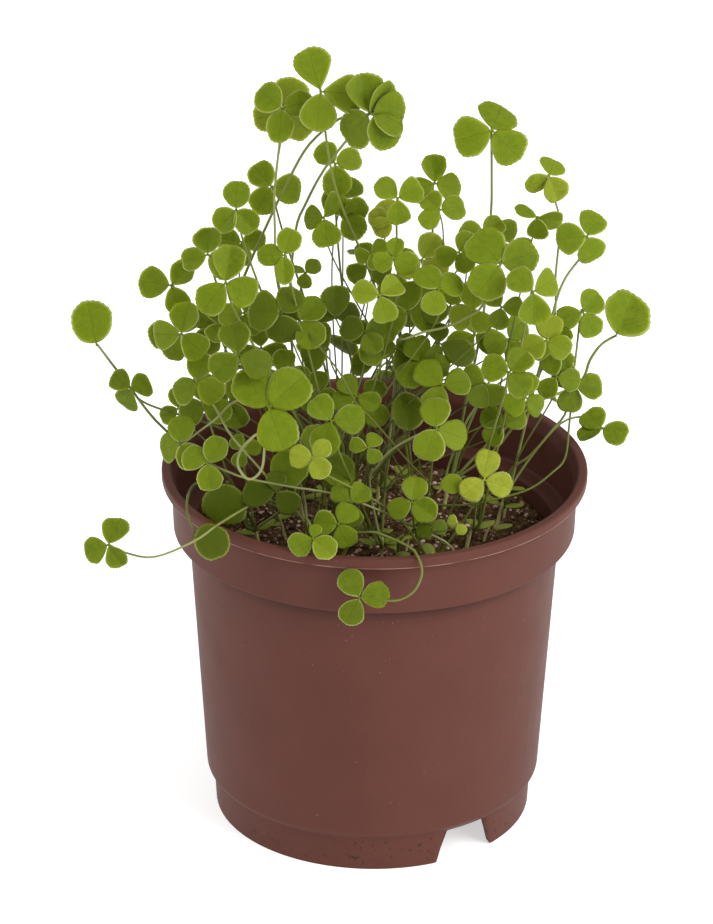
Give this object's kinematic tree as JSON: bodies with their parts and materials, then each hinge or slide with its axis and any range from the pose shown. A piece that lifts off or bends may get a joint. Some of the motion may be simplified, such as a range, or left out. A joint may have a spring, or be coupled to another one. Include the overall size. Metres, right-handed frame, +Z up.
{
  "type": "potted clover",
  "caption": "Young potted clover, also sold as shamrock or oxalis, in a round plastic nursery pot with soil.",
  "frame": {"origin": "on the pot's axis, on the surface that the pot stands on", "axes": "+Z up along the pot's axis; -Y is the front, the side the leaves face; +X is the plant's right as seen from the front"},
  "size_m": [0.1592, 0.1315, 0.2293],
  "materials": {
    "pot": "matte, faintly mottled moulded plastic",
    "soil": "loose damp peat and bark fibre with pale grains",
    "stem": "smooth living stem, pale green",
    "leaf": "soft living leaf, half matte"
  },
  "bodies": {
    "root": {"pot": "pot", "soil": "soil", "stem_a": "stem", "stem_b": "stem", "stem_c": "stem", "stem_d": "stem", "stem_e": "stem", "stem_f": "stem", "stem_g": "stem", "stem_h": "stem", "stem_i": "stem", "stem_j": "stem", "stem_k": "stem", "stem_l": "stem", "leaf_01": "leaf", "leaf_02": "leaf", "leaf_03": "leaf", "leaf_04": "leaf", "leaf_05": "leaf", "leaf_06": "leaf", "leaf_07": "leaf", "leaf_08": "leaf", "leaf_09": "leaf", "leaf_10": "leaf", "leaf_11": "leaf", "leaf_12": "leaf", "leaf_13": "leaf", "leaf_14": "leaf", "leaf_15": "leaf", "leaf_16": "leaf", "leaf_17": "leaf", "leaf_18": "leaf", "leaf_19": "leaf", "leaf_20": "leaf", "leaf_21": "leaf", "leaf_22": "leaf", "leaf_23": "leaf", "leaf_24": "leaf", "leaf_25": "leaf", "leaf_26": "leaf", "leaf_27": "leaf", "leaf_28": "leaf", "leaf_29": "leaf", "leaf_30": "leaf", "leaf_31": "leaf", "leaf_32": "leaf", "leaf_33": "leaf", "leaf_34": "leaf", "leaf_35": "leaf", "leaf_36": "leaf", "leaf_37": "leaf", "leaf_38": "leaf", "leaf_39": "leaf", "leaf_40": "leaf", "leaf_41": "leaf", "leaf_42": "leaf", "leaf_43": "leaf", "leaf_44": "leaf", "leaf_45": "leaf", "leaf_46": "leaf"}
  },
  "joints": []
}
